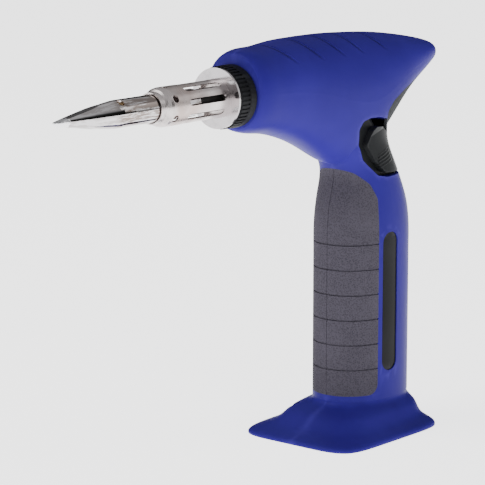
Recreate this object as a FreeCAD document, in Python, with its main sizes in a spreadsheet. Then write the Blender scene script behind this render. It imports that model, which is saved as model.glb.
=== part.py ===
"""Pistol-grip gas soldering iron, built as an assembly of separate pieces, in millimetres.

The frame: +X along the barrel towards the tip, +Y to the tool's left, +Z up, and the origin at the
centre of the foot's underside. The housing parts on the plane Y = 0 into a left and a right shell.
"""
import FreeCAD
import Part
import Sketcher
import math
import os
from FreeCAD import Vector, Placement, Rotation

SIZES = {
    # outer skin
    "wall": 2.6, "floor_thick": 3.0, "pad_depth": 1.3, "rib_depth": 0.4,
    "foot_front": 34.5, "foot_back": -38.5, "foot_half": 31.0, "foot_height": 16.0,
    "grip_front": 9.8, "grip_back": -39.5, "grip_half": 17.8,
    "nose_x": 73.0, "nose_half": 15.4, "nose_top": 176.0, "nose_low": 142.2, "nose_wall": 2.6,
    # windows over the tank
    "window_x": -13.0, "window_wide": 10.0, "window_low": 27.5, "window_high": 90.0,
    "window_sunk": 0.5, "window_thick": 1.1, "window_ledge": 1.2,
    # barrel group, on the bore axis
    "bore_z": 157.6,
    "bush_back": 52.0, "bush_front": 83.5, "bush_radius": 9.0, "bush_collar": 10.5,
    "bulkhead_back": 60.0, "bulkhead_thick": 2.4,
    "knob_back": 73.4, "knob_front": 83.2, "knob_radius": 13.2, "knob_bore": 9.05, "knob_count": 44,
    "knob_rib_back": 77.8, "knob_rib_wide": 0.85, "knob_rib_deep": 0.55, "knob_turn": 60.0,
    "sleeve_back": 66.0, "sleeve_front": 81.0, "sleeve_radius": 5.7, "pin_x": 78.5, "pin_radius": 1.0,
    "burner_back": 58.0, "burner_front": 106.0, "burner_radius": 5.0, "burner_bore": 4.4,
    "jet_front": 70.0, "jet_hole": 0.5, "tube_radius": 1.2,
    "shield_radius": 12.7, "shield_thick": 1.0,
    "shroud_radius": 8.1, "shroud_wall": 0.6, "shroud_shoulder": 118.7, "shroud_front": 124.7,
    "shroud_turn": 11.0, "slot_back": 88.5, "slot_front": 107.8, "slot_radius": 1.4, "slot_count": 8,
    "vent_x": 117.0, "vent_y": 1.8, "vent_radius": 1.6, "vent_count": 6,
    "tip_start": 100.0, "tip_radius": 5.7, "tip_bore": 5.1, "cone_start": 146.0, "tinned_start": 172.7,
    "tip_end": 179.5, "exhaust_x": 144.8, "exhaust_y": 2.7, "exhaust_radius": 1.6,
    "insert_start": 128.0, "insert_end": 145.8, "cell_radius": 0.42, "cell_ring": 3.6, "cell_count": 14,
    "electrode_up": 6.75, "electrode_radius": 0.3, "ceramic_radius": 0.6, "ceramic_front": 88.0,
    "electrode_front": 96.0, "ceramic_back": 50.0,
    # fuel system
    "tank_x": -14.85, "tank_low": 17.0, "tank_top": 94.0, "tank_half": 12.8, "tank_long": 19.0,
    "tank_corner": 9.0, "tank_wall": 1.3, "shelf_thick": 2.3,
    "port_radius": 6.0, "port_low": 1.0, "port_bore": 2.6, "stem_radius": 1.1, "stem_travel": 2.0,
    "valve_x": -4.0, "valve_radius": 5.0, "valve_top": 103.0, "valve_travel": 1.8,
    "lever_x": -8.0, "lever_z": 110.0, "lever_half": 1.4, "lever_angle": 25.0,
    # ignition slider, in its own frame: local Z is the sliding direction
    "slide_x": -12.0, "slide_z": 127.0, "slide_tilt": 38.0, "slide_travel": 4.5,
    "core_half": 12.0, "core_back": -5.7, "core_corner": 5.0, "liner": 1.0, "slide_gap": 0.25,
    "tongue_half": 1.5, "tongue_low": -13.0, "tongue_high": -8.0, "tongue_reach": 0.5,
    "piezo_low": -2.9, "piezo_high": 22.5, "piezo_half": 4.0, "plunger_radius": 2.2, "plunger_x": -1.0,
}
X, Y, Z = Vector(1, 0, 0), Vector(0, 1, 0), Vector(0, 0, 1)
BEYOND = 60.0


# ---------------------------------------------------------------- document, sheet and sketch helpers
def new_sheet(document):
    cells = document.addObject("Spreadsheet::Sheet", "sizes")
    for row, (alias, value) in enumerate(SIZES.items(), start=1):
        cells.set(f"A{row}", alias)
        cells.set(f"B{row}", str(value))
        cells.setAlias(f"B{row}", alias)
    document.recompute()
    return cells


doc = FreeCAD.newDocument("soldering_iron")
sheet = new_sheet(doc)
pieces = []


def size(text):
    """The value of an alias, or of a formula of aliases written without the sheet's name."""
    return float(sheet.evalExpression(bound(text)))


def bound(text):
    """A formula of aliases, with the sheet's name put before each alias."""
    words = []
    for word in str(text).replace("(", "( ").replace(")", " )").split():
        words.append(f"sizes.{word}" if word in SIZES else word)
    return " ".join(words)


def new_body(name, base=("0", "0", "0")):
    body = doc.addObject("PartDesign::Body", name)
    body.Label = name
    for axis, text in zip("xyz", base):
        if text != "0":
            body.setExpression(f".Placement.Base.{axis}", bound(text))
    pieces.append(body)
    return body


def new_sketch(body, role, name, lift=None):
    sketch = body.newObject("Sketcher::SketchObject", name)
    plane = next(item for item in body.Origin.OriginFeatures if item.Role == role)
    sketch.AttachmentSupport = (plane, "")
    sketch.MapMode = "FlatFace"
    if lift:
        sketch.setExpression("AttachmentOffset.Base.z", bound(lift))
    return sketch


def pin_point(sketch, geometry, position, across, along):
    """Hold a point of the sketch at a distance from its origin each way, bound to the sheet."""
    for kind, text, axis in (("DistanceX", across, -2), ("DistanceY", along, -1)):
        value = size(text)
        if abs(value) < 1e-9:
            sketch.addConstraint(Sketcher.Constraint("PointOnObject", geometry, position, axis))
        else:
            row = sketch.addConstraint(Sketcher.Constraint(kind, -1, 1, geometry, position, value))
            sketch.setExpression(f"Constraints[{row}]", bound(text))


def draw_loop(sketch, corners):
    """A closed loop of straight lines through corners given as pairs of formulas."""
    spots = [Vector(size(a), size(b), 0) for a, b in corners]
    count = len(spots)
    for n in range(count):
        sketch.addGeometry(Part.LineSegment(spots[n], spots[(n + 1) % count]), False)
    for n in range(count):
        sketch.addConstraint(Sketcher.Constraint("Coincident", n, 2, (n + 1) % count, 1))
    for n, (a, b) in enumerate(corners):
        pin_point(sketch, n, 1, a, b)


def draw_circle(sketch, across, along, radius):
    centre = Vector(size(across), size(along), 0)
    index = sketch.addGeometry(Part.Circle(centre, Z, size(radius)), False)
    pin_point(sketch, index, 3, across, along)
    row = sketch.addConstraint(Sketcher.Constraint("Radius", index, size(radius)))
    sketch.setExpression(f"Constraints[{row}]", bound(radius))


def draw_slot(sketch, start, end, radius):
    """A round-ended slot on the sketch's own X axis, from the centre of one end to the other."""
    a, b, r = size(start), size(end), size(radius)
    quarter = math.pi / 2
    sketch.addGeometry(Part.ArcOfCircle(Part.Circle(Vector(a, 0, 0), Z, r), quarter, 3 * quarter), False)
    sketch.addGeometry(Part.ArcOfCircle(Part.Circle(Vector(b, 0, 0), Z, r), -quarter, quarter), False)
    sketch.addGeometry(Part.LineSegment(Vector(a, -r, 0), Vector(b, -r, 0)), False)
    sketch.addGeometry(Part.LineSegment(Vector(b, r, 0), Vector(a, r, 0)), False)
    for first, end_1, second, end_2 in ((0, 2, 2, 1), (2, 2, 1, 1), (1, 2, 3, 1), (3, 2, 0, 1)):
        sketch.addConstraint(Sketcher.Constraint("Tangent", first, end_1, second, end_2))
    sketch.addConstraint(Sketcher.Constraint("PointOnObject", 1, 3, -1))
    pin_point(sketch, 0, 3, start, "0")
    row = sketch.addConstraint(Sketcher.Constraint("DistanceX", -1, 1, 1, 3, b))
    sketch.setExpression(f"Constraints[{row}]", bound(end))
    row = sketch.addConstraint(Sketcher.Constraint("Radius", 0, r))
    sketch.setExpression(f"Constraints[{row}]", bound(radius))


def turn(body, profile, upright=False):
    """Revolve a loop of (along, radius) formulas about the body's X axis, or about Z when upright."""
    sketch = new_sketch(body, "XZ_Plane", body.Name + "_profile")
    draw_loop(sketch, [(radius, along) if upright else (along, radius) for along, radius in profile])
    solid = body.newObject("PartDesign::Revolution", body.Name + "_turned")
    solid.Profile = sketch
    solid.ReferenceAxis = (sketch, ["V_Axis" if upright else "H_Axis"])
    solid.Angle = 360
    doc.recompute()


def cut(body, sketch, name, length=None, reverse=False, middle=False):
    """A pocket from a sketch, checked to have removed material."""
    before = body.Shape.Volume
    pocket = body.newObject("PartDesign::Pocket", f"{body.Name}_{name}")
    pocket.Profile = sketch
    pocket.Reversed = reverse
    if middle:
        pocket.Midplane = True
    if length:
        pocket.setExpression("Length", bound(length))
    else:
        pocket.Type = "ThroughAll"
    doc.recompute()
    if body.Shape.Volume > before - 1e-3:
        raise RuntimeError(f"{pocket.Name} removes nothing")
    return pocket


def repeat(body, feature, count, role="X_Axis"):
    before = body.Shape.Volume
    pattern = body.newObject("PartDesign::PolarPattern", feature.Name + "_round")
    pattern.Originals = [feature]
    axis = next(item for item in body.Origin.OriginFeatures if item.Role == role)
    pattern.Axis = (axis, [""])
    pattern.Angle = 360
    pattern.setExpression("Occurrences", bound(count))
    body.Tip = pattern
    doc.recompute()
    if body.Shape.Volume > before - 1e-3:
        raise RuntimeError(f"{pattern.Name} removes nothing")


def pad(body, sketch, length, name="pad"):
    solid = body.newObject("PartDesign::Pad", f"{body.Name}_{name}")
    solid.Profile = sketch
    solid.setExpression("Length", bound(length))
    doc.recompute()
    return solid


def round_uprights(body, feature, radius, name, inside=(1e3, 1e3), outside=(0, 0)):
    """Fillet the edges of a feature that run along the body's Z, between two half lengths and widths."""
    names = []
    for n, edge in enumerate(feature.Shape.Edges, start=1):
        ends = [v.Point for v in edge.Vertexes]
        upright = len(ends) == 2 and abs(ends[0].x - ends[1].x) < 1e-6 and abs(ends[0].y - ends[1].y) < 1e-6
        if not upright:
            continue
        across, along = abs(ends[0].x), abs(ends[0].y)
        if across < inside[0] and along < inside[1] and across >= outside[0] and along >= outside[1]:
            names.append(f"Edge{n}")
    fillet = body.newObject("PartDesign::Fillet", f"{body.Name}_{name}")
    fillet.Base = (feature, names)
    fillet.setExpression("Radius", bound(radius))
    doc.recompute()
    return fillet


def new_piece(name, shape, base=None):
    """A sub-part whose shape comes from Part's own functions."""
    piece = doc.addObject("Part::Feature", name)
    piece.Label = name
    piece.Shape = shape
    if base:
        piece.Placement = base
    pieces.append(piece)
    return piece


# ---------------------------------------------------------------- curves and blocks
def corner(before, here, after, bend):
    """Start, middle and end of the tangent arc that rounds one corner of a path."""
    back, ahead = (before - here), (after - here)
    limit = 0.46 * min(back.Length, ahead.Length)
    back.normalize()
    ahead.normalize()
    half = back.getAngle(ahead) / 2
    setback = min(bend / math.tan(half), limit)
    inward = back + ahead
    inward.normalize()
    depth = setback / math.cos(half) - setback * math.tan(half)
    return here + back * setback, here + inward * depth, here + ahead * setback


def loop_edges(points, bend):
    count = len(points)
    turns = [corner(points[n - 1], points[n], points[(n + 1) % count], bend) for n in range(count)]
    edges = []
    for n, (start, middle, end) in enumerate(turns):
        edges.append(Part.LineSegment(turns[n - 1][2], start).toShape())
        edges.append(Part.Arc(start, middle, end).toShape())
    return edges


def side_prism(outline, bend=2.0, low=-BEYOND, high=BEYOND):
    """A block across the tool, from an outline of (x, z) pairs with rounded corners."""
    points = [Vector(x, low, z) for x, z in outline]
    return Part.Face(Part.Wire(loop_edges(points, bend))).extrude(Y * (high - low))


def grown(outline, distance):
    """The outline moved outwards by a distance at every corner."""
    turn_sum = sum(a[0] * b[1] - b[0] * a[1] for a, b in zip(outline, outline[1:] + outline[:1]))
    sign = 1 if turn_sum > 0 else -1
    result = []
    for n, here in enumerate(outline):
        before, after = Vector(*outline[n - 1]), Vector(*outline[(n + 1) % len(outline)])
        spot = Vector(*here)
        back, ahead = spot - before, after - spot
        back.normalize()
        ahead.normalize()
        normal = Vector(back.y + ahead.y, -back.x - ahead.x, 0)
        normal.normalize()
        lean = max(0.35, Vector(back.y, -back.x, 0).dot(normal))
        moved = spot + normal * (sign * distance / lean)
        result.append((moved.x, moved.y))
    return result


def block(low, high):
    return Part.makeBox(high[0] - low[0], high[1] - low[1], high[2] - low[2], Vector(*low))


def bent_rod(points, bend, radius):
    """A round rod along straight runs joined by tangent arcs."""
    spots = [Vector(*p) for p in points]
    edges, here = [], spots[0]
    for n in range(1, len(spots) - 1):
        start, middle, end = corner(spots[n - 1], spots[n], spots[n + 1], bend)
        edges.append(Part.LineSegment(here, start).toShape())
        edges.append(Part.Arc(start, middle, end).toShape())
        here = end
    edges.append(Part.LineSegment(here, spots[-1]).toShape())
    section = Part.Wire([Part.Circle(spots[0], spots[1] - spots[0], radius).toShape()])
    return Part.Wire(edges).makePipeShell([section], True, False)


# ---------------------------------------------------------------- outer skin
# Upper handle, at even steps up from NECK_LOW: front, back and half width, as changes to the straight grip
NECK_LOW, NECK_STEP = 76.0, 7.0
NECK_SECTIONS = [
    (0.0, 0.0, 0.0), (0.0, 0.0, 0.0), (0.0, 0.15, 0.0), (-0.4, 0.9, -0.3), (-1.6, 2.9, -0.8),
    (-3.6, 6.4, -1.4), (-4.0, 10.2, -2.0), (1.5, 13.5, -2.5), (9.0, 14.9, -2.9), (12.5, 13.5, -3.2),
    (14.0, 9.5, -4.0), (15.0, 4.5, -5.6),
]
GRIP_POWER = 2.2
# Head sections: distance along X, top, bottom, half width
HEAD_SECTIONS = [
    (61, 177.0, 140.4, 16.6), (48, 178.2, 137.7, 17.3), (36, 178.7, 133.7, 17.8), (24, 178.8, 128.2, 18.0),
    (12, 178.6, 122.2, 18.0), (0, 178.0, 120.2, 17.6), (-12, 177.2, 126.0, 17.0), (-24, 176.0, 137.0, 15.9),
    (-36, 174.3, 147.6, 14.2), (-47, 172.4, 154.0, 11.8), (-55, 170.7, 157.8, 9.2),
]
TAIL_SECTIONS = [(-60, 169.3, 160.0, 6.9), (-62.8, 168.0, 161.4, 4.6), (-64.0, 166.0, 163.2, 2.0)]
NOSE_STEPS = [(0.0, 1.4), (-0.5, 0.7), (-1.6, 0.1)]
HEAD_POWER = 2.1
# Foot sections: share of the height, of the way in to the grip, of the flare, and squareness
FOOT_SECTIONS = [
    (0.0, 0.0, 1.0, 6.0), (0.06, 0.0, 1.0, 6.0), (0.2, 0.17, 0.80, 4.4), (0.45, 0.48, 0.45, 3.2),
    (0.75, 0.84, 0.13, 2.4), (1.0, 1.0, 0.0, GRIP_POWER),
]
OVAL_POINTS = 32


def oval(origin, side, up, half_side, high, low, power):
    """A closed smooth curve: a superellipse, half_side wide each way and from low to high along up."""
    middle, half_up = (high + low) / 2, (high - low) / 2
    points = []
    for n in range(OVAL_POINTS):
        a = 2 * math.pi * n / OVAL_POINTS
        c, s = math.cos(a), math.sin(a)
        k = (abs(c) ** power + abs(s) ** power) ** (-1 / power)
        points.append(origin + side * (half_side * k * c) + up * (middle + half_up * k * s))
    curve = Part.BSplineCurve()
    curve.interpolate(points, PeriodicFlag=True)
    return Part.Wire([curve.toShape()])


def grip_solid(inset):
    front, back, half = size("grip_front") - inset, size("grip_back") + inset, size("grip_half") - inset
    low = size("foot_height") - 1.0
    column = Part.Face(oval(Z * low, Y, X, half, front, back, GRIP_POWER)).extrude(Z * (NECK_LOW - low))
    wires = [
        oval(Z * (NECK_LOW + NECK_STEP * n), Y, X, half + dw, front + df, back + db, GRIP_POWER)
        for n, (df, db, dw) in enumerate(NECK_SECTIONS)
    ]
    return column.fuse(Part.makeLoft(wires, True, False))


def foot_solid(inset):
    wires = []
    for up, inward, flare, power in FOOT_SECTIONS:
        front = size("foot_front") + (size("grip_front") - size("foot_front")) * inward
        back = size("foot_back") + (size("grip_back") - size("foot_back")) * inward
        half = size("grip_half") + (size("foot_half") - size("grip_half")) * flare
        level = Z * (up * size("foot_height"))
        wires.append(oval(level, Y, X, half - inset, front - inset, back + inset, power))
    return Part.makeLoft(wires, True, False)


def head_solid(inset):
    wires = []
    for back, less in NOSE_STEPS:
        trim = less + inset
        high, low = size("nose_top") - trim, size("nose_low") + trim
        wires.append(oval(X * (size("nose_x") + back), Y, Z, size("nose_half") - trim, high, low, HEAD_POWER))
    for x, high, low, half in HEAD_SECTIONS + (TAIL_SECTIONS if inset < 1.8 else []):
        wires.append(oval(X * x, Y, Z, half - inset, high - inset, low + inset, HEAD_POWER))
    return Part.makeLoft(wires, True, False)


skins = {}


def skin(inset):
    """The whole outside, moved inwards by inset."""
    if inset not in skins:
        skins[inset] = grip_solid(inset).fuse([head_solid(inset), foot_solid(inset)])
    return skins[inset]


def layer(outer, inner, region):
    """The part of the skin between two depths that lies in a region."""
    return skin(outer).common(region).cut(skin(inner))


# ---------------------------------------------------------------- regions seen from the side, as (x, z)
GRIP_PAD = [(40, 17.6), (-5.7, 17.6), (-5.7, 105.4), (-2.5, 112.0), (3.0, 117.2), (12.0, 121.6), (40, 128.0)]
WEB_PAD = [
    (-70, 158.8), (-46.2, 158.2), (-36.8, 155.0), (-26.2, 152.0), (-16.5, 147.8), (-12.4, 143.6), (-12.8, 139.6),
    (-16.0, 135.4), (-21.5, 129.6), (-26.0, 126.0), (-70, 125.4),
]
POCKET = [
    (-60, 114.6), (-60, 134.6), (-24, 136.4), (-14, 139.8), (-6, 141.6), (1.5, 142.0), (6.8, 141.0),
    (8.9, 137.4), (6.3, 131.0), (1.6, 123.0), (-6.4, 115.6), (-12, 114.4),
]
SLIDER = [
    (1.1, 129.5), (-1.0, 132.6), (-2.6, 135.6), (-5.0, 137.2), (-10.5, 136.8), (-17, 133.6), (-24, 130.2),
    (-34, 127.5), (-60, 127.0), (-60, 116.0), (-20, 115.9), (-11.6, 116.3), (-5, 122.0),
]
SCREWS = [(36.0, 167.0), (40.0, 142.0), (-48.0, 163.0), (-28.0, 101.0), (9.0, 8.6), (-31.0, 8.6)]
SCREW_HEAD, SCREW_SHANK, SCREW_SEAT, SCREW_REACH = 2.7, 1.25, 8.0, 7.5
RIB_HEIGHTS = [29.5 + 11.2 * n for n in range(6)]

bore_z = size("bore_z")
wall = size("wall")
pad_depth = size("pad_depth")


def rod_across(x, z, radius, low, high):
    return Part.makeCylinder(radius, high - low, Vector(x, low, z), Y)


def bore_rod(radius, start, end):
    return Part.makeCylinder(radius, end - start, Vector(start, 0, bore_z), X)


def slide_frame():
    return Placement(Vector(size("slide_x"), 0, size("slide_z")), Rotation(Y, size("slide_tilt")))


def core(shrink):
    """The U-section bar that the slider rides on, along the sliding direction."""
    half, back, corner_radius = size("core_half") - shrink, size("core_back") + shrink, size("core_corner") - shrink
    bar = block((back, -half, -BEYOND), (BEYOND, half, BEYOND))
    uprights = [e for e in bar.Edges if abs(e.tangentAt(e.FirstParameter).z) > 0.9 and e.BoundBox.XMax < 0]
    bar = bar.makeFillet(corner_radius, uprights)
    bar.Placement = slide_frame()
    return bar


def slide_block(low, high):
    bar = block(low, high)
    bar.Placement = slide_frame()
    return bar


def window_block(less):
    """The window's outline less a margin, as a round-ended block out to the left."""
    half = size("window_wide") / 2 - less
    middle, low, high = size("window_x"), size("window_low") + less, size("window_high") - less
    outline = [(middle - half, low), (middle + half, low), (middle + half, high), (middle - half, high)]
    return side_prism(outline, half * 0.92, 5.0, BEYOND)


# ---------------------------------------------------------------- housing halves
left_side = block((-100, 0, -1), (100, BEYOND, 200))
pad_gap_side = block((-100, 0.1, -1), (100, BEYOND, 200))
pocket_block = side_prism(POCKET, 2.6)
web_block = side_prism(WEB_PAD, 3.0)
grip_block = side_prism(GRIP_PAD, 5.0)

inside_box = block((-100, -1, size("floor_thick")), (size("nose_x") - size("nose_wall"), BEYOND, 200))
pocket_rim = side_prism(grown(POCKET, 1.6), 3.4).common(left_side)
half_skin = skin(0).common(left_side)
shelf_low = size("tank_low") - size("shelf_thick")
shelf = skin(1.0).common(block((-60, 0, shelf_low), (60, BEYOND, size("tank_low"))))
bulkhead_end = size("bulkhead_back + bulkhead_thick")
bulkhead = skin(1.0).common(block((size("bulkhead_back"), 0, 100), (bulkhead_end, BEYOND, 200)))
flange = half_skin.common(pocket_rim)
half_shell = half_skin.cut(skin(wall).common(inside_box)).fuse([flange, shelf, bulkhead])
port = Part.makeCylinder(size("port_radius"), size("tank_low") + 1, Vector(size("tank_x"), 0, -1), Z)
bush_bore = bore_rod(size("bush_radius"), size("bulkhead_back") - 1, size("nose_x") + 1)
half_shell = half_shell.cut([pocket_block, core(0).common(pocket_rim).common(skin(1.0)), port, bush_bore])
window_depth = size("window_sunk + window_thick")
recesses = [
    layer(0, pad_depth, grip_block.common(left_side)), layer(0, pad_depth, web_block.common(left_side)),
    layer(0, window_depth, window_block(0)), window_block(size("window_ledge")),
]
half_shell = half_shell.cut(recesses)
posts = rod_across(size("lever_x"), size("lever_z"), 2.6, 3.0, BEYOND).common(skin(1.0))
half_shell = half_shell.fuse(posts)
half_shell = half_shell.cut(rod_across(size("lever_x"), size("lever_z"), size("pin_radius"), 2.0, 8.0))


def mirrored(shape):
    return shape.mirror(Vector(0, 0, 0), Y)


def housing_half(boss_radius, holes):
    """One half, drawn on the left, with its screw bosses and the holes in them."""
    rods = Part.makeCompound([rod_across(x, z, boss_radius, 0, BEYOND) for x, z in SCREWS])
    return half_shell.fuse(rods.common(skin(1.0))).cut(Part.makeCompound(holes))


pilots = [rod_across(x, z, SCREW_SHANK, -1, SCREW_REACH) for x, z in SCREWS]
sunk_seats = [
    rod_across(x, z, SCREW_SHANK + 0.2, -1, SCREW_SEAT + 1).fuse(rod_across(x, z, SCREW_HEAD, SCREW_SEAT, BEYOND))
    for x, z in SCREWS
]
new_piece("housing_left", housing_half(3.3, pilots))
new_piece("housing_right", mirrored(housing_half(3.8, sunk_seats)))


def screw(x, z):
    """A pan-head screw, its head sunk in the right half and its point in the left."""
    head = rod_across(x, z, SCREW_HEAD - 0.2, -SCREW_SEAT - 1.7, -SCREW_SEAT)
    recess = block((x - 1.3, -SCREW_SEAT - 2, z - 0.3), (x + 1.3, -SCREW_SEAT - 0.9, z + 0.3))
    recess = recess.fuse(block((x - 0.3, -SCREW_SEAT - 2, z - 1.3), (x + 0.3, -SCREW_SEAT - 0.9, z + 1.3)))
    return head.fuse(rod_across(x, z, SCREW_SHANK, -SCREW_SEAT, SCREW_REACH - 0.5)).cut(recess)


new_piece("housing_screws", Part.makeCompound([screw(x, z) for x, z in SCREWS]))

# ---------------------------------------------------------------- rubber pads and windows
def rib_ring(z):
    """A thin ring round the straight part of the grip, from rib_depth inside the skin outwards."""
    front, back, half = size("grip_front"), size("grip_back"), size("grip_half")
    wires = [
        oval(Z * (z - 0.3), Y, X, half - inset, front - inset, back + inset, GRIP_POWER)
        for inset in (-1.0, size("rib_depth"))
    ]
    return Part.Face(wires[0]).extrude(Z * 0.6).cut(Part.Face(wires[1]).extrude(Z * 0.6))


grip_pad = layer(0, pad_depth, grip_block).common(pad_gap_side)
grip_pad = grip_pad.cut(Part.makeCompound([rib_ring(z) for z in RIB_HEIGHTS]))
new_piece("grip_pad_left", grip_pad)
new_piece("grip_pad_right", mirrored(grip_pad))
window = layer(size("window_sunk"), window_depth, window_block(0))
new_piece("fuel_window_left", window)
new_piece("fuel_window_right", mirrored(window))

# ---------------------------------------------------------------- ignition slider and its guide
guide = core(0).cut(core(size("liner"))).common(side_prism(grown(POCKET, 1.6), 3.4)).common(skin(1.7))
slot_top = size("tongue_high + slide_travel") + 0.3
slot_half = size("tongue_half") + 0.3
guide = guide.cut(slide_block((-12, -slot_half, size("tongue_low") - 0.3), (0, slot_half, slot_top)))
new_piece("slider_guide", guide)

under_pad = skin(0).cut(layer(0, pad_depth + 0.4, side_prism(grown(WEB_PAD, 0.35), 3.0)))
slider = side_prism(SLIDER, 1.6).common(under_pad).cut(core(-size("slide_gap")))
tongue_back = size("core_back - slide_gap") - 1.0
half, reach = size("tongue_half"), size("tongue_reach")
tongue = slide_block((tongue_back, -half, size("tongue_low")), (reach, half, size("tongue_high")))
slider = slider.fuse(tongue)
new_piece("thumb_slider", slider)

# the web pad, relieved where the slider passes under its lower edge
web_pad = layer(0, pad_depth, web_block).removeSplitter()
slider_rim = slider.common(block((-40, -20, 119), (-10, 20, 135)))
slide_way = slide_frame().Rotation.multVec(Z)
away = slide_frame().Rotation.multVec(X) * -0.3
for n in range(1, 7):
    for aside in (-0.3, 0.3):
        web_pad = web_pad.cut(slider_rim.translated(slide_way * (0.82 * n) + away + Y * aside))
new_piece("web_pad", web_pad)


def along_slide(body):
    body.setExpression(".Placement.Base.x", bound("slide_x"))
    body.setExpression(".Placement.Base.z", bound("slide_z"))
    body.Placement = Placement(body.Placement.Base, Rotation(Y, size("slide_tilt")))
    body.setExpression(".Placement.Rotation.Angle", bound("slide_tilt"))


piezo = new_body("piezo_module")
along_slide(piezo)
sketch = new_sketch(piezo, "XY_Plane", "piezo_outline", "piezo_low")
draw_loop(sketch, [("plunger_x - 3.4", "0 - piezo_half"), ("plunger_x + 3.4", "0 - piezo_half"),
                   ("plunger_x + 3.4", "piezo_half"), ("plunger_x - 3.4", "piezo_half")])
case = pad(piezo, sketch, "piezo_high - piezo_low")
round_uprights(piezo, case, "1.2", "corners")
sketch = new_sketch(piezo, "XY_Plane", "piezo_bore_outline", "piezo_low")
draw_circle(sketch, "plunger_x", "0", "plunger_radius + 0.05")
cut(piezo, sketch, "bore", "12", reverse=True)

plunger = new_body("piezo_plunger")
along_slide(plunger)
sketch = new_sketch(plunger, "XY_Plane", "plunger_outline", "tongue_high + 0.3")
draw_circle(sketch, "plunger_x", "0", "plunger_radius")
pad(plunger, sketch, "piezo_low - tongue_high + 5.0")

# ---------------------------------------------------------------- fuel system
tank = new_body("fuel_tank", ("tank_x", "0", "0"))
sketch = new_sketch(tank, "XY_Plane", "tank_outline", "tank_low + tank_wall")
draw_loop(sketch, [("0 - tank_long", "0 - tank_half"), ("tank_long", "0 - tank_half"),
                   ("tank_long", "tank_half"), ("0 - tank_long", "tank_half")])
pad(tank, sketch, "tank_top - tank_low - tank_wall")
sketch = new_sketch(tank, "XY_Plane", "tank_inside", "tank_low + tank_wall")
draw_loop(sketch, [("tank_wall - tank_long", "tank_wall - tank_half"), ("tank_long - tank_wall", "tank_wall - tank_half"),
                   ("tank_long - tank_wall", "tank_half - tank_wall"), ("tank_wall - tank_long", "tank_half - tank_wall")])
hollow = cut(tank, sketch, "hollow", "tank_top - tank_low - 2 * tank_wall", reverse=True)
inner = (size("tank_long") - 0.5, size("tank_half") - 0.5)
rounded = round_uprights(tank, hollow, "tank_corner - tank_wall", "inner_corners", inner)
round_uprights(tank, rounded, "tank_corner", "corners", outside=inner)
sketch = new_sketch(tank, "XY_Plane", "tank_outlet", "tank_top")
draw_circle(sketch, "valve_x - tank_x", "0", "1.6")
cut(tank, sketch, "outlet", "tank_wall + 0.5")

cap = new_body("tank_cap", ("tank_x", "0", "0"))
sketch = new_sketch(cap, "XY_Plane", "cap_outline", "tank_low")
draw_loop(sketch, [("0 - tank_long", "0 - tank_half"), ("tank_long", "0 - tank_half"),
                   ("tank_long", "tank_half"), ("0 - tank_long", "tank_half")])
plate = pad(cap, sketch, "tank_wall")
round_uprights(cap, plate, "tank_corner", "corners")
sketch = new_sketch(cap, "XY_Plane", "cap_hole", "tank_low")
draw_circle(sketch, "0", "0", "4")
cut(cap, sketch, "hole", reverse=True)

refill = new_body("refill_valve_body", ("tank_x", "0", "0"))
turn(refill, [
    ("port_low", "port_bore"), ("port_low", "port_radius"), ("tank_low", "port_radius"), ("tank_low", "4"),
    ("tank_low + 4", "4"), ("tank_low + 4", "stem_radius + 0.05"), ("tank_low + 1", "stem_radius + 0.05"),
    ("tank_low + 1", "port_bore"),
], upright=True)
stem = new_body("refill_stem", ("tank_x", "0", "0"))
turn(stem, [
    ("port_low + 0.4", "0.4"), ("port_low + 0.4", "stem_radius"), ("port_low + 4", "stem_radius"),
    ("port_low + 4", "port_bore - 0.05"), ("port_low + 6", "port_bore - 0.05"), ("port_low + 6", "stem_radius"),
    ("tank_low + 2.5", "stem_radius"), ("tank_low + 2.5", "0.4"),
], upright=True)


def coil_spring(start, end, coil_radius, wire_radius, turns):
    helix = Part.makeHelix((end - start) / turns, end - start, coil_radius)
    helix.translate(Z * start)
    first = helix.Edges[0]
    spot, way = first.valueAt(first.FirstParameter), first.tangentAt(first.FirstParameter)
    section = Part.Wire([Part.Circle(spot, way, wire_radius).toShape()])
    return Part.Wire(helix.Edges).makePipeShell([section], True, True)


spring_low, spring_high = size("port_low") + 6.3, size("tank_low") + 0.7
spring = coil_spring(spring_low, spring_high, 1.75, 0.25, 7)
new_piece("refill_spring", spring, Placement(Vector(size("tank_x"), 0, 0), Rotation()))

valve = new_body("valve_block", ("valve_x", "0", "0"))
turn(valve, [
    ("tank_top", "0.6"), ("tank_top", "valve_radius"), ("valve_top - 1", "valve_radius"),
    ("valve_top", "valve_radius - 1"), ("valve_top", "stem_radius + 0.05"), ("tank_top + 3", "stem_radius + 0.05"),
    ("tank_top + 3", "0.6"),
], upright=True)
valve_stem = new_body("valve_stem", ("valve_x", "0", "0"))
turn(valve_stem, [
    ("valve_top - 4", "0"), ("valve_top - 4", "stem_radius"), ("lever_z - 1.0", "stem_radius"), ("lever_z - 1.0", "0"),
], upright=True)

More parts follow.
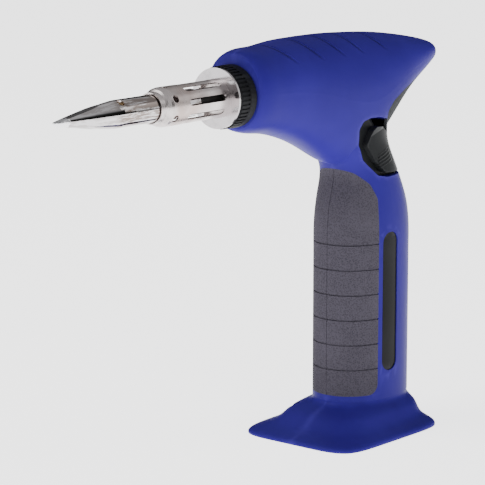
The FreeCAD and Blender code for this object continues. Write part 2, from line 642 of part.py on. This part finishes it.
lever = new_body("valve_lever", ("lever_x", "0", "lever_z"))
sketch = new_sketch(lever, "XZ_Plane", "lever_outline")
draw_loop(sketch, [("0 - 11.6", "4.2"), ("0 - 10.6", "3.0"), ("0 - 2.0", "0 - 1.8"), ("1.6", "0 - 1.9"),
                   ("3.2", "0 - 0.8"), ("4.8", "0 - 0.8"), ("5.0", "1.0"), ("1.6", "1.9"), ("0 - 1.6", "2.2"),
                   ("0 - 10.2", "5.2")])
bar = pad(lever, sketch, "lever_half * 2")
bar.Midplane = True
sketch = new_sketch(lever, "XZ_Plane", "lever_eye")
draw_circle(sketch, "0", "0", "pin_radius + 0.05")
cut(lever, sketch, "eye", "20", middle=True)
pin = new_body("lever_pin", ("lever_x", "0", "lever_z"))
sketch = new_sketch(pin, "XZ_Plane", "lever_pin_outline")
draw_circle(sketch, "0", "0", "pin_radius")
rod = pad(pin, sketch, "16")
rod.Midplane = True

tube_points = [(-0.9, 0, size("valve_top") - 1), (-0.9, 0, 123), (22, 0, 151), (43, 0, bore_z), (62, 0, bore_z)]
gas_tube = bent_rod(tube_points, 9.0, size("tube_radius"))
new_piece("gas_tube", gas_tube.cut(valve.Shape))

# ---------------------------------------------------------------- barrel group, on the bore axis
ON_BORE = ("0", "0", "bore_z")
jet = new_body("gas_jet", ON_BORE)
turn(jet, [
    ("burner_back", "tube_radius"), ("burner_back", "burner_bore"), ("burner_back + 10", "burner_bore"),
    ("jet_front - 1", "1.6"), ("jet_front", "1.2"), ("jet_front", "jet_hole"), ("burner_back + 4", "jet_hole"),
    ("burner_back + 4", "tube_radius"),
])

burner = new_body("burner_tube", ON_BORE)
turn(burner, [
    ("burner_back", "burner_bore"), ("burner_back", "burner_radius"), ("burner_front", "burner_radius"),
    ("burner_front", "burner_bore"),
])
sketch = new_sketch(burner, "XY_Plane", "burner_ports")
draw_circle(sketch, "74", "0", "0.8")
repeat(burner, cut(burner, sketch, "port", "burner_radius + 1", reverse=True), "4")

bush = new_body("nose_bush", ON_BORE)
turn(bush, [
    ("bush_back", "burner_radius"), ("bush_back", "bush_radius"),
    ("bulkhead_back - 2.4", "bush_radius"), ("bulkhead_back - 2.4", "bush_collar"),
    ("bulkhead_back", "bush_collar"), ("bulkhead_back", "bush_radius"),
    ("bulkhead_back + bulkhead_thick", "bush_radius"), ("bulkhead_back + bulkhead_thick", "bush_collar"),
    ("bulkhead_back + bulkhead_thick + 2.4", "bush_collar"), ("bulkhead_back + bulkhead_thick + 2.4", "bush_radius"),
    ("bush_front", "bush_radius"), ("bush_front", "sleeve_radius + 0.05"),
    ("sleeve_back - 0.2", "sleeve_radius + 0.05"), ("sleeve_back - 0.2", "burner_radius"),
])
sketch = new_sketch(bush, "YZ_Plane", "bush_ceramic")
draw_circle(sketch, "0", "electrode_up", "ceramic_radius")
cut(bush, sketch, "ceramic_hole", "bush_front + 5", reverse=True)
sketch = new_sketch(bush, "XZ_Plane", "bush_slot")
draw_loop(sketch, [("pin_x - pin_radius - 0.1", "0 - bush_radius - 1"), ("pin_x + pin_radius + 0.1", "0 - bush_radius - 1"),
                   ("pin_x + pin_radius + 0.1", "0 - sleeve_radius"), ("pin_x - pin_radius - 0.1", "0 - sleeve_radius")])
before = bush.Shape.Volume
slot = bush.newObject("PartDesign::Groove", "bush_slot_cut")
slot.Profile = sketch
slot.ReferenceAxis = (sketch, ["H_Axis"])
slot.Midplane = True
slot.setExpression("Angle", bound("2 * knob_turn + 26"))
doc.recompute()
if bush.Shape.Volume > before - 1:
    raise RuntimeError("the bush's slot removes nothing")

sleeve = new_body("metering_sleeve", ON_BORE)
turn(sleeve, [
    ("sleeve_back", "burner_radius + 0.05"), ("sleeve_back", "sleeve_radius"), ("sleeve_front", "sleeve_radius"),
    ("sleeve_front", "burner_radius + 0.05"),
])
sketch = new_sketch(sleeve, "XY_Plane", "sleeve_ports")
draw_circle(sketch, "74", "0", "0.8")
repeat(sleeve, cut(sleeve, sketch, "port", "burner_radius + 2", reverse=True), "4")
sketch = new_sketch(sleeve, "XY_Plane", "sleeve_pin")
draw_circle(sketch, "pin_x", "0", "pin_radius")
cut(sleeve, sketch, "pin_hole", "burner_radius + 2")

drive_pin = new_body("drive_pin", ON_BORE)
sketch = new_sketch(drive_pin, "XY_Plane", "drive_pin_outline", "0 - knob_radius + 1.2")
draw_circle(sketch, "pin_x", "0", "pin_radius")
pad(drive_pin, sketch, "knob_radius - 1.2 - burner_radius - 0.2")

knob = new_body("flow_knob", ON_BORE)
turn(knob, [
    ("knob_back", "knob_bore"), ("knob_back", "knob_radius - 0.5"), ("knob_back + 0.5", "knob_radius"),
    ("knob_rib_back - 0.6", "knob_radius"), ("knob_rib_back", "knob_radius - 0.15"),
    ("knob_front - 0.9", "knob_radius - 0.15"), ("knob_front", "knob_radius - 1.1"), ("knob_front", "knob_bore"),
])
sketch = new_sketch(knob, "XY_Plane", "knob_rib", "knob_radius - knob_rib_deep")
draw_loop(sketch, [("knob_rib_back", "0 - knob_rib_wide / 2"), ("knob_front + 1", "0 - knob_rib_wide / 2"),
                   ("knob_front + 1", "knob_rib_wide / 2"), ("knob_rib_back", "knob_rib_wide / 2")])
repeat(knob, cut(knob, sketch, "rib", "5", reverse=True), "knob_count")
sketch = new_sketch(knob, "XY_Plane", "knob_pin")
draw_circle(sketch, "pin_x", "0", "pin_radius")
cut(knob, sketch, "pin_hole", "knob_radius - 1.2")

shield = new_body("heat_shield", ON_BORE)
turn(shield, [
    ("bush_front", "burner_radius"), ("bush_front", "shield_radius"), ("bush_front + shield_thick", "shield_radius"),
    ("bush_front + shield_thick", "burner_radius"),
])
sketch = new_sketch(shield, "YZ_Plane", "shield_ceramic")
draw_circle(sketch, "0", "electrode_up", "ceramic_radius")
cut(shield, sketch, "ceramic_hole", "bush_front + 5", reverse=True)

shroud = new_body("slotted_shroud", ON_BORE)
shroud.Placement = Placement(shroud.Placement.Base, Rotation(X, size("shroud_turn")))
shroud.setExpression(".Placement.Rotation.Angle", bound("shroud_turn"))
shroud_back = "bush_front + shield_thick"
inner = "shroud_radius - shroud_wall"
turn(shroud, [
    (shroud_back, "burner_radius"), (shroud_back, "shroud_radius"), ("shroud_shoulder", "shroud_radius"),
    ("shroud_shoulder + 1.4", "shroud_radius - 0.2"), ("shroud_shoulder + 2.6", "shroud_radius - 0.75"),
    ("shroud_shoulder + 3.3", "shroud_radius - 1.5"), ("shroud_front", "shroud_radius - 1.6"),
    ("shroud_front", "tip_radius + 0.35"), ("shroud_front - 1.8", "tip_radius + 0.35"),
    ("shroud_front - 1.8", "tip_radius"), ("shroud_front - 3.2", "tip_radius"),
    ("shroud_shoulder + 1.2", "shroud_radius - 0.95"), ("shroud_shoulder", inner),
    (shroud_back + " + shroud_wall", inner), (shroud_back + " + shroud_wall", "burner_radius"),
])
sketch = new_sketch(shroud, "XY_Plane", "shroud_slot")
draw_slot(sketch, "slot_back", "slot_front", "slot_radius")
repeat(shroud, cut(shroud, sketch, "slot", "shroud_radius + 1", reverse=True), "slot_count")
sketch = new_sketch(shroud, "XY_Plane", "shroud_vent")
draw_circle(sketch, "vent_x", "vent_y", "vent_radius")
repeat(shroud, cut(shroud, sketch, "vent", "shroud_radius + 1", reverse=True), "vent_count")
turn_back = math.radians(size("shroud_turn"))
sketch = new_sketch(shroud, "YZ_Plane", "shroud_ceramic")
draw_circle(sketch, f"electrode_up * {math.sin(turn_back):.6f}", f"electrode_up * {math.cos(turn_back):.6f}",
            "ceramic_radius")
cut(shroud, sketch, "ceramic_hole", "bush_front + 2.2", reverse=True)

tip = new_body("soldering_tip", ON_BORE)
turn(tip, [
    ("tip_start", "tip_bore"), ("tip_start", "tip_radius"), ("cone_start - 1", "tip_radius"),
    ("cone_start + 1", "tip_radius - 0.1"), ("160", "4.2"), ("tinned_start", "2.25"), ("178.4", "1.35"),
    ("tip_end - 0.3", "1.0"), ("tip_end", "0.5"), ("tip_end", "0"), ("cone_start + 2", "0"), ("cone_start", "tip_bore"),
])
sketch = new_sketch(tip, "XZ_Plane", "tip_bevel")
draw_loop(sketch, [("150", "5.55"), ("tip_end + 1", "0.05"), ("tip_end + 1", "9"), ("150", "9")])
cut(tip, sketch, "bevel", "30", middle=True)
sketch = new_sketch(tip, "XY_Plane", "tip_exhaust")
draw_circle(sketch, "exhaust_x", "exhaust_y", "exhaust_radius")
cut(tip, sketch, "exhaust", "tip_radius + 1", reverse=True)

insert = new_body("catalyst_insert", ON_BORE)
turn(insert, [
    ("insert_start", "0"), ("insert_start", "tip_bore"), ("insert_end", "tip_bore"), ("insert_end", "0"),
])
for ring, share in enumerate(("1", "0.58")):
    sketch = new_sketch(insert, "YZ_Plane", f"cell_{ring}")
    draw_circle(sketch, "0", f"cell_ring * {share}", "cell_radius")
    cell = cut(insert, sketch, f"cell_cut_{ring}", "insert_end + 1", reverse=True)
    repeat(insert, cell, "cell_count" if ring == 0 else "8")

ceramic = new_body("ceramic_insulator", ON_BORE)
sketch = new_sketch(ceramic, "YZ_Plane", "ceramic_outline", "ceramic_back")
draw_circle(sketch, "0", "electrode_up", "ceramic_radius")
draw_circle(sketch, "0", "electrode_up", "electrode_radius")
pad(ceramic, sketch, "ceramic_front - ceramic_back")
electrode = new_body("igniter_electrode", ON_BORE)
sketch = new_sketch(electrode, "YZ_Plane", "electrode_outline", "ceramic_back + 2")
draw_circle(sketch, "0", "electrode_up", "electrode_radius")
pad(electrode, sketch, "electrode_front - ceramic_back - 2")

lead_end = bore_z + size("electrode_up")
piezo_top = slide_frame().multVec(Vector(size("plunger_x"), 0, size("piezo_high")))
lead_points = [(piezo_top.x, 0, piezo_top.z), (piezo_top.x + 3.1, 0, piezo_top.z + 4), (14, 4.5, 157.5),
               (28, 5, 160.6), (41, 3, lead_end - 1.8), (46, 0, lead_end), (52, 0, lead_end)]
lead = bent_rod(lead_points, 6.0, size("electrode_radius"))
new_piece("igniter_lead", lead)


# ---------------------------------------------------------------- checks and files
def check_and_write():
    doc.recompute()
    for item in doc.Objects:
        if {"Invalid", "Error"} & set(item.State):
            raise RuntimeError(f"{item.Name} failed: {item.State}")
    os.makedirs("parts", exist_ok=True)
    for piece in pieces:
        shape = piece.Shape
        if shape.isNull() or not shape.isValid():
            raise RuntimeError(f"{piece.Label} has no valid shape")
        shape.exportStep(f"parts/{piece.Label}.step")
        print(f"{piece.Label:20s} solids {len(shape.Solids)}  volume {shape.Volume:10.2f}")


check_and_write()
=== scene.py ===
import bmesh
import bpy
import math
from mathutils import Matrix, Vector


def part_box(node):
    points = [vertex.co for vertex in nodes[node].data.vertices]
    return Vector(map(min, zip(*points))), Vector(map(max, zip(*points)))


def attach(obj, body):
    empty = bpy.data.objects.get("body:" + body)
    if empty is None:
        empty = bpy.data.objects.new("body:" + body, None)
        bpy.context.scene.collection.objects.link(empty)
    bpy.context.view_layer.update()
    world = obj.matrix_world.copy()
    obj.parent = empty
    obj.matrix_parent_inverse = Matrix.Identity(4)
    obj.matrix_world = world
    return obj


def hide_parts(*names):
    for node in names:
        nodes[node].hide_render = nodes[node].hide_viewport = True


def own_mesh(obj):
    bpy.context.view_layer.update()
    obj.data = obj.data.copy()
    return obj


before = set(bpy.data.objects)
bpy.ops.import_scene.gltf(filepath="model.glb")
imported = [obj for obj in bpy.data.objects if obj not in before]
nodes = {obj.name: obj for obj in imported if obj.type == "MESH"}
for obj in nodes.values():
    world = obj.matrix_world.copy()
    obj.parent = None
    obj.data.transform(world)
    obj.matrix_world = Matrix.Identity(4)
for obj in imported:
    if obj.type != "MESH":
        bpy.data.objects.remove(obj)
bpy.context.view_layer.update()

# ---------------------------------------------------------------- named values, in metres
MM = 0.001
bush_low, bush_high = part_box("nose_bush")
bore_z = (bush_low.z + bush_high.z) / 2
shroud_rear, shroud_front = (corner.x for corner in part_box("slotted_shroud"))

# shallow grooves over the head: their places along X where they cross GROOVE_LEVEL
HEAD_GROOVES = (0.0562, 0.0390, 0.0232, 0.0088, -0.0083)
GROOVE_LEVEL = 0.1775
GROOVE_LEAN = -1.05
GROOVE_FADE = (0.169, 0.1745)
GROOVE_HALF = 1.6 * MM
GROOVE_DEPTH = 0.9 * MM

# thumb ribs on the slider: how X and Z add up across them, and the stretch that they cover
RIB_ACROSS = (0.26, 0.965)
RIB_PITCH = 1.5 * MM
RIB_DEPTH = 1.2 * MM
RIB_LOW, RIB_HIGH = 0.1117, 0.1188
RIB_REAR, RIB_FRONT = -0.0175, -0.0062
RIB_FADE = 0.6 * MM

TINNED_FROM = 0.1731
EXHAUST_X = 0.143
CONE_X = 0.146

SPRING_WIRE = 0.25 * MM
SPRING_TURNS = 7

FLOOR_HALF = 9.0
CAMERA_PLACE = (0.8566, 0.6629, 0.2952)
CAMERA_TARGET = (0.0674, 0.0, 0.0949)
CAMERA_SENSOR_MM = 36.0
CAMERA_LENS_MM = 185.6
LIGHT_TARGET = (0.04, 0.0, 0.10)


# ---------------------------------------------------------------- node helpers
class Shader:
    """A material under construction: short calls that add nodes and return their output sockets."""

    def __init__(self, name):
        self.material = bpy.data.materials.new(name)
        self.material.use_nodes = True
        self.tree = self.material.node_tree
        self.tree.nodes.clear()
        self.surface = self.tree.nodes.new("ShaderNodeBsdfPrincipled")
        output = self.tree.nodes.new("ShaderNodeOutputMaterial")
        self.tree.links.new(self.surface.outputs[0], output.inputs[0])
        self.place = self.tree.nodes.new("ShaderNodeTexCoord").outputs["Object"]
        split = self.tree.nodes.new("ShaderNodeSeparateXYZ")
        self.tree.links.new(self.place, split.inputs[0])
        self.x, self.y, self.z = split.outputs

    def put(self, socket, value):
        """Link a socket, or set its value; a colour of three numbers gets full opacity."""
        if isinstance(value, bpy.types.NodeSocket):
            self.tree.links.new(value, socket)
        elif isinstance(value, tuple) and len(value) == 3 and socket.type == "RGBA":
            socket.default_value = (*value, 1)
        else:
            socket.default_value = value

    def set(self, **values):
        for name, value in values.items():
            self.put(self.surface.inputs[name.replace("_", " ")], value)
        return self

    def current(self, name):
        """What is linked to an input of the surface now."""
        return self.surface.inputs[name].links[0].from_socket

    def math(self, operation, a, b=0.0):
        node = self.tree.nodes.new("ShaderNodeMath")
        node.operation = operation
        for socket, value in zip(node.inputs, (a, b)):
            self.put(socket, value)
        return node.outputs[0]

    def times(self, a, b):
        return self.math("MULTIPLY", a, b)

    def minus(self, a, b):
        return self.math("SUBTRACT", a, b)

    def total(self, *values):
        result = values[0]
        for value in values[1:]:
            result = self.math("ADD", result, value)
        return result

    def step(self, value, low, high, start=0.0, end=1.0):
        """A smooth change from start to end while value goes from low to high."""
        node = self.tree.nodes.new("ShaderNodeMapRange")
        node.interpolation_type = "SMOOTHSTEP"
        for socket, number in zip(node.inputs, (value, low, high, start, end)):
            self.put(socket, number)
        return node.outputs[0]

    def vector(self, x, y, z):
        node = self.tree.nodes.new("ShaderNodeCombineXYZ")
        for socket, value in zip(node.inputs, (x, y, z)):
            self.put(socket, value)
        return node.outputs[0]

    def stretched(self, x, y, z):
        """The place, scaled by its own factor along each axis."""
        return self.vector(self.times(self.x, x), self.times(self.y, y), self.times(self.z, z))

    def noise(self, scale, detail=2.0, roughness=0.5, at=None):
        node = self.tree.nodes.new("ShaderNodeTexNoise")
        self.put(node.inputs["Vector"], at or self.place)
        self.put(node.inputs["Scale"], scale)
        self.put(node.inputs["Detail"], detail)
        self.put(node.inputs["Roughness"], roughness)
        return node.outputs["Fac"]

    def cells(self, scale):
        node = self.tree.nodes.new("ShaderNodeTexVoronoi")
        self.put(node.inputs["Vector"], self.place)
        self.put(node.inputs["Scale"], scale)
        return node.outputs["Distance"]

    def blend(self, factor, a, b):
        """Colour a where factor is 0, colour b where it is 1."""
        node = self.tree.nodes.new("ShaderNodeMix")
        node.data_type = "RGBA"
        self.put(node.inputs[0], factor)
        self.put(node.inputs[6], a)
        self.put(node.inputs[7], b)
        return node.outputs[2]

    def bump(self, height, distance, normal=None):
        node = self.tree.nodes.new("ShaderNodeBump")
        self.put(node.inputs["Strength"], 1.0)
        self.put(node.inputs["Distance"], distance)
        self.put(node.inputs["Height"], height)
        if normal:
            self.put(node.inputs["Normal"], normal)
        return node.outputs[0]

    def edge_wear(self):
        """How sharply the surface bends outwards, from 0 to 1."""
        node = self.tree.nodes.new("ShaderNodeNewGeometry")
        return self.step(node.outputs["Pointiness"], 0.52, 0.60)

    def ring_lines(self, scale):
        """Fine lines round the bore axis, as a lathe or a brush leaves them."""
        angle = self.math("ARCTAN2", self.minus(self.z, bore_z), self.y)
        return self.noise(1.0, 3.0, 0.6, at=self.vector(self.times(self.x, scale), angle, 0.0))


def assign(shader, *names):
    for name in names:
        mesh = nodes[name].data
        if not mesh.materials:
            mesh.materials.append(shader.material)
        for index in range(len(mesh.materials)):
            mesh.materials[index] = shader.material


def tinted(color, factor, lift=0.0):
    return tuple(min(1.0, channel * factor + lift) for channel in color)


# ---------------------------------------------------------------- plastics and rubbers
def moulded(name, dark, light, gloss, grain=1600.0, grain_depth=0.02 * MM):
    """Moulded plastic: uneven sheen, a fine skin, scuffs and paler worn edges."""
    s = Shader(name)
    cloud = s.step(s.noise(26.0, 3.0), 0.35, 0.65)
    scuffs = s.step(s.noise(1.0, 4.0, 0.7, at=s.stretched(90.0, 90.0, 420.0)), 0.60, 0.75)
    rough = s.total(gloss, s.times(cloud, 0.06), s.times(scuffs, 0.08))
    worn = tinted(light, 1.6, 0.02)
    color = s.blend(s.times(s.edge_wear(), 0.35), s.blend(cloud, dark, light), worn)
    return s.set(Base_Color=color, Roughness=rough, Normal=s.bump(s.noise(grain, 2.0), grain_depth))


def housing_shader():
    """Blue plastic with shallow grooves over the head that fade down its sides."""
    s = moulded("housing_blue", (0.021, 0.011, 0.168), (0.026, 0.015, 0.196), 0.40)
    lines = []
    for place in HEAD_GROOVES:
        off = s.total(s.x, s.times(s.minus(s.z, GROOVE_LEVEL), GROOVE_LEAN), -place)
        lines.append(s.step(s.math("ABSOLUTE", off), 0.2 * MM, GROOVE_HALF, 1.0, 0.0))
    groove = s.times(s.total(*lines), s.step(s.z, *GROOVE_FADE))
    return s.set(Normal=s.bump(s.times(groove, -1.0), GROOVE_DEPTH, s.current("Normal")), IOR=1.12)


def rubber(name, dark, light, grain, depth, rough):
    """Soft-touch rubber with a fine even stipple."""
    s = Shader(name)
    cloud = s.noise(60.0, 3.0)
    dots = s.cells(grain)
    color = s.blend(s.step(dots, 0.1, 0.6), dark, light)
    color = s.blend(s.times(s.step(cloud, 0.45, 0.7), 0.3), color, tinted(light, 1.35))
    skin = s.bump(dots, depth, s.bump(s.noise(grain * 2.1, 2.0), depth * 0.5))
    return s.set(Base_Color=color, Roughness=s.total(rough, s.times(cloud, 0.15)), Normal=skin, IOR=1.12)


def slider_shader():
    """Black plastic with short ribs where the thumb pushes."""
    s = moulded("slider_black", (0.006, 0.007, 0.008), (0.011, 0.012, 0.013), 0.36)
    rise = s.total(s.times(s.x, RIB_ACROSS[0]), s.times(s.z, RIB_ACROSS[1]))
    ribs = s.step(s.math("SINE", s.times(rise, 2 * math.pi / RIB_PITCH)), -0.3, 0.5)
    edges = (
        s.step(rise, RIB_LOW, RIB_LOW + RIB_FADE),
        s.step(rise, RIB_HIGH - RIB_FADE, RIB_HIGH, 1.0, 0.0),
        s.step(s.x, RIB_REAR, RIB_REAR + 1.0 * MM),
        s.step(s.x, RIB_FRONT - 1.3 * MM, RIB_FRONT, 1.0, 0.0),
    )
    for edge in edges:
        ribs = s.times(ribs, edge)
    return s.set(Normal=s.bump(ribs, RIB_DEPTH, s.current("Normal")), IOR=1.14)


def knob_shader():
    s = moulded("knob_black", (0.005, 0.005, 0.006), (0.010, 0.011, 0.013), 0.46, 2400.0, 0.03 * MM)
    return s.set(IOR=1.16)


def window_shader():
    s = moulded("window_gloss", (0.006, 0.006, 0.007), (0.010, 0.010, 0.012), 0.08, 900.0, 0.004 * MM)
    return s.set(IOR=1.14)


def black_shader():
    s = moulded("black_plastic", (0.006, 0.007, 0.007), (0.011, 0.012, 0.013), 0.36)
    return s.set(IOR=1.14)


grip = rubber("grip_rubber", (0.034, 0.031, 0.040), (0.062, 0.056, 0.072), 1500.0, 0.10 * MM, 0.68)
web = rubber("web_rubber", (0.020, 0.022, 0.023), (0.036, 0.038, 0.041), 1900.0, 0.07 * MM, 0.55)
assign(housing_shader(), "housing_left", "housing_right")
assign(grip, "grip_pad_left", "grip_pad_right")
assign(web, "web_pad")
assign(slider_shader(), "thumb_slider")
assign(black_shader(), "slider_guide", "piezo_module")
assign(knob_shader(), "flow_knob")
assign(window_shader(), "fuel_window_left", "fuel_window_right")
assign(moulded("tank_plastic", (0.55, 0.58, 0.60), (0.68, 0.71, 0.73), 0.22), "fuel_tank", "tank_cap")
assign(moulded("soft_tube", (0.45, 0.45, 0.43), (0.60, 0.60, 0.57), 0.45), "gas_tube")
assign(moulded("lead_red", (0.40, 0.03, 0.02), (0.50, 0.05, 0.03), 0.40), "igniter_lead")
assign(moulded("ceramic_white", (0.70, 0.68, 0.63), (0.80, 0.78, 0.73), 0.50), "ceramic_insulator")


# ---------------------------------------------------------------- metals
def turned_metal(name, color, rough, lines=2500.0, depth=0.012 * MM):
    """Turned metal: lathe lines round the bore, a little tarnish and brighter edges."""
    s = Shader(name)
    grain = s.ring_lines(lines)
    tarnish = s.step(s.noise(220.0, 4.0), 0.42, 0.72)
    aged = s.blend(tarnish, color, tinted(color, 0.72))
    shade = s.blend(s.times(s.edge_wear(), 0.6), aged, tinted(color, 1.15))
    uneven = s.total(rough, s.times(grain, 0.08), s.times(tarnish, 0.10))
    return s.set(Base_Color=shade, Metallic=1.0, Roughness=uneven, Normal=s.bump(grain, depth))


def shroud_shader():
    """Satin stainless tube, straw-brown where the burner heats it."""
    s = turned_metal("shroud_stainless", (0.60, 0.55, 0.54), 0.24, 1700.0, 0.02 * MM)
    behind = s.step(s.x, shroud_rear + 10 * MM, shroud_rear + 24 * MM)
    ahead = s.step(s.x, shroud_front - 10 * MM, shroud_front - 4 * MM, 1.0, 0.0)
    warm = s.times(s.times(behind, ahead), s.step(s.noise(120.0, 3.0), 0.25, 0.7, 0.25, 0.7))
    return s.set(Base_Color=s.blend(warm, s.current("Base Color"), (0.40, 0.30, 0.26)))


def tip_shader():
    """Chromed copper: scorched streaks, a straw tint at the exhaust and a tinned working end."""
    s = Shader("tip_chrome")
    smear = s.noise(400.0, 4.0, 0.6)
    edge = s.total(s.x, s.times(s.noise(900.0, 2.0), 1.2 * MM))
    tinned = s.step(edge, TINNED_FROM, TINNED_FROM + 0.6 * MM)
    reach = s.math("ABSOLUTE", s.minus(s.x, EXHAUST_X))
    heat = s.times(s.step(reach, 0.0, 12 * MM, 0.35, 0.0), s.step(smear, 0.3, 0.7))
    streaks = s.step(s.noise(1.0, 4.0, 0.7, at=s.stretched(90.0, 700.0, 700.0)), 0.44, 0.54)
    scorch = s.times(streaks, s.step(s.x, CONE_X, CONE_X + 3 * MM, 0.85, 0.4))
    color = s.blend(heat, (0.62, 0.60, 0.61), (0.42, 0.32, 0.24))
    color = s.blend(scorch, color, (0.16, 0.12, 0.10))
    color = s.blend(tinned, color, (0.90, 0.90, 0.92))
    rough = s.total(0.05, s.times(s.step(smear, 0.4, 0.8), 0.10), s.times(tinned, 0.22))
    lumps = s.times(s.noise(700.0, 3.0), tinned)
    skin = s.bump(lumps, 0.2 * MM, s.bump(smear, 0.006 * MM))
    return s.set(Base_Color=color, Metallic=1.0, Roughness=rough, Normal=skin)


def catalyst_shader():
    """A fine woven mesh, brown with brass-coloured crowns."""
    s = Shader("catalyst_mesh")
    one_way = s.math("SINE", s.times(s.total(s.x, s.y), 5200.0))
    other_way = s.math("SINE", s.times(s.minus(s.x, s.y), 5200.0))
    weave = s.times(one_way, other_way)
    color = s.blend(s.step(weave, -0.2, 0.5), (0.06, 0.035, 0.02), (0.42, 0.27, 0.12))
    return s.set(Base_Color=color, Metallic=0.8, Roughness=0.45, Normal=s.bump(weave, 0.2 * MM))


brass = turned_metal("brass", (0.62, 0.44, 0.19), 0.20)
steel = turned_metal("spring_steel", (0.52, 0.52, 0.53), 0.22)
assign(shroud_shader(), "slotted_shroud")
assign(tip_shader(), "soldering_tip")
assign(turned_metal("shield_polished", (0.40, 0.38, 0.39), 0.12, 900.0, 0.004 * MM), "heat_shield")
assign(turned_metal("burner_dark", (0.035, 0.033, 0.032), 0.45), "burner_tube")
assign(brass, "nose_bush", "metering_sleeve", "gas_jet", "refill_valve_body", "refill_stem", "valve_block")
assign(steel, "housing_screws", "piezo_plunger", "refill_spring", "valve_stem", "valve_lever", "lever_pin",
       "drive_pin", "igniter_electrode")
assign(catalyst_shader(), "catalyst_insert")


# ---------------------------------------------------------------- refill spring, drawn as a coil that fills its part's box
def coil_mesh(name, centre, low, high, coil_radius, wire_radius, turns, sides=10, steps=36):
    """A closed tube along a helix about a vertical axis, from low to high."""
    points, faces = [], []
    rings = turns * steps + 1
    pitch = (high - low) / turns
    slope = math.atan2(pitch, 2 * math.pi * coil_radius)
    for ring in range(rings):
        a = 2 * math.pi * ring / steps
        outward = Vector((math.cos(a), math.sin(a), 0))
        tilt = math.sin(slope)
        across = Vector((math.sin(a) * tilt, -math.cos(a) * tilt, math.cos(slope)))
        spot = Vector((centre[0], centre[1], low + pitch * ring / steps)) + outward * coil_radius
        for side in range(sides):
            b = 2 * math.pi * side / sides
            points.append(spot + (outward * math.cos(b) + across * math.sin(b)) * wire_radius)
    for ring in range(rings - 1):
        for side in range(sides):
            here, beside = ring * sides + side, ring * sides + (side + 1) % sides
            faces.append((here, beside, beside + sides, here + sides))
    faces.append(tuple(reversed(range(sides))))
    faces.append(tuple(range((rings - 1) * sides, rings * sides)))
    mesh = bpy.data.meshes.new(name)
    mesh.from_pydata(points, [], faces)
    bm = bmesh.new()
    bm.from_mesh(mesh)
    bmesh.ops.recalc_face_normals(bm, faces=bm.faces)
    bm.to_mesh(mesh)
    bm.free()
    for face in mesh.polygons:
        face.use_smooth = True
    return mesh


def refill_spring_piece():
    low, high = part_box("refill_spring")
    centre = ((low.x + high.x) / 2, 0.0, high.z)
    coil_radius = (high.y - low.y) / 2 - SPRING_WIRE
    start, end = low.z + SPRING_WIRE, high.z - SPRING_WIRE
    mesh = coil_mesh("spring_coil", centre, start, end, coil_radius, SPRING_WIRE, SPRING_TURNS)
    mesh.materials.append(steel.material)
    coil = bpy.data.objects.new("spring_coil", mesh)
    bpy.context.scene.collection.objects.link(coil)
    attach(coil, "handpiece")
    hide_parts("refill_spring")
    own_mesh(coil)


refill_spring_piece()


# ---------------------------------------------------------------- floor, light and camera
def floor_piece():
    mesh = bpy.data.meshes.new("floor")
    far = FLOOR_HALF
    mesh.from_pydata([(-far, -far, 0), (far, -far, 0), (far, far, 0), (-far, far, 0)], [], [(0, 1, 2, 3)])
    floor = bpy.data.objects.new("floor", mesh)
    bpy.context.scene.collection.objects.link(floor)
    s = Shader("floor_pale")
    s.set(Base_Color=s.blend(s.noise(3.0), (0.90, 0.90, 0.91), (0.92, 0.92, 0.93)), Roughness=0.9)
    s.set(Emission_Color=(1.0, 1.0, 1.0), Emission_Strength=2.4)
    mesh.materials.append(s.material)


def area_light(name, place, size, power, color=(1, 1, 1)):
    light = bpy.data.lights.new(name, "AREA")
    light.shape = "RECTANGLE"
    light.size, light.size_y = size
    light.energy = power
    light.color = color
    lamp = bpy.data.objects.new(name, light)
    lamp.location = place
    lamp.rotation_euler = (Vector(LIGHT_TARGET) - Vector(place)).to_track_quat("-Z", "Y").to_euler()
    bpy.context.scene.collection.objects.link(lamp)


def studio_world():
    """Bright above, and dark near the horizon for the polished metal to reflect."""
    world = bpy.data.worlds.new("studio")
    bpy.context.scene.world = world
    world.use_nodes = True
    tree = world.node_tree
    tree.nodes.clear()
    place = tree.nodes.new("ShaderNodeTexCoord")
    split = tree.nodes.new("ShaderNodeSeparateXYZ")
    ramp = tree.nodes.new("ShaderNodeValToRGB")
    shade = tree.nodes.new("ShaderNodeBackground")
    output = tree.nodes.new("ShaderNodeOutputWorld")
    tree.links.new(place.outputs["Generated"], split.inputs[0])
    tree.links.new(split.outputs[2], ramp.inputs[0])
    tree.links.new(ramp.outputs[0], shade.inputs[0])
    tree.links.new(shade.outputs[0], output.inputs[0])
    stops = [(0.0, 0.03), (0.33, 0.04), (0.45, 0.45), (0.60, 1.2), (1.0, 1.1)]
    ramp.color_ramp.elements.remove(ramp.color_ramp.elements[1])
    for index, (height, value) in enumerate(stops):
        stop = ramp.color_ramp.elements[0] if index == 0 else ramp.color_ramp.elements.new(height)
        stop.position = height
        stop.color = (value, value, value * 1.02, 1)
    shade.inputs["Strength"].default_value = 0.5


def photo_camera():
    camera = bpy.data.objects.new("camera", bpy.data.cameras.new("camera"))
    camera.location = CAMERA_PLACE
    look = Vector(CAMERA_TARGET) - camera.location
    camera.rotation_euler = look.to_track_quat("-Z", "Y").to_euler()
    camera.data.sensor_width = CAMERA_SENSOR_MM
    camera.data.lens = CAMERA_LENS_MM
    camera.data.clip_start = 0.01
    camera.data.dof.use_dof = False
    bpy.context.scene.collection.objects.link(camera)
    bpy.context.scene.camera = camera


floor_piece()
studio_world()
area_light("key", (0.75, -0.55, 1.05), (0.9, 0.7), 9.0)
area_light("fill", (0.55, 1.10, 0.55), (0.5, 0.5), 3.0, (0.96, 0.98, 1.0))
area_light("rim", (-0.85, 0.65, 0.55), (0.4, 0.8), 1.2)
photo_camera()
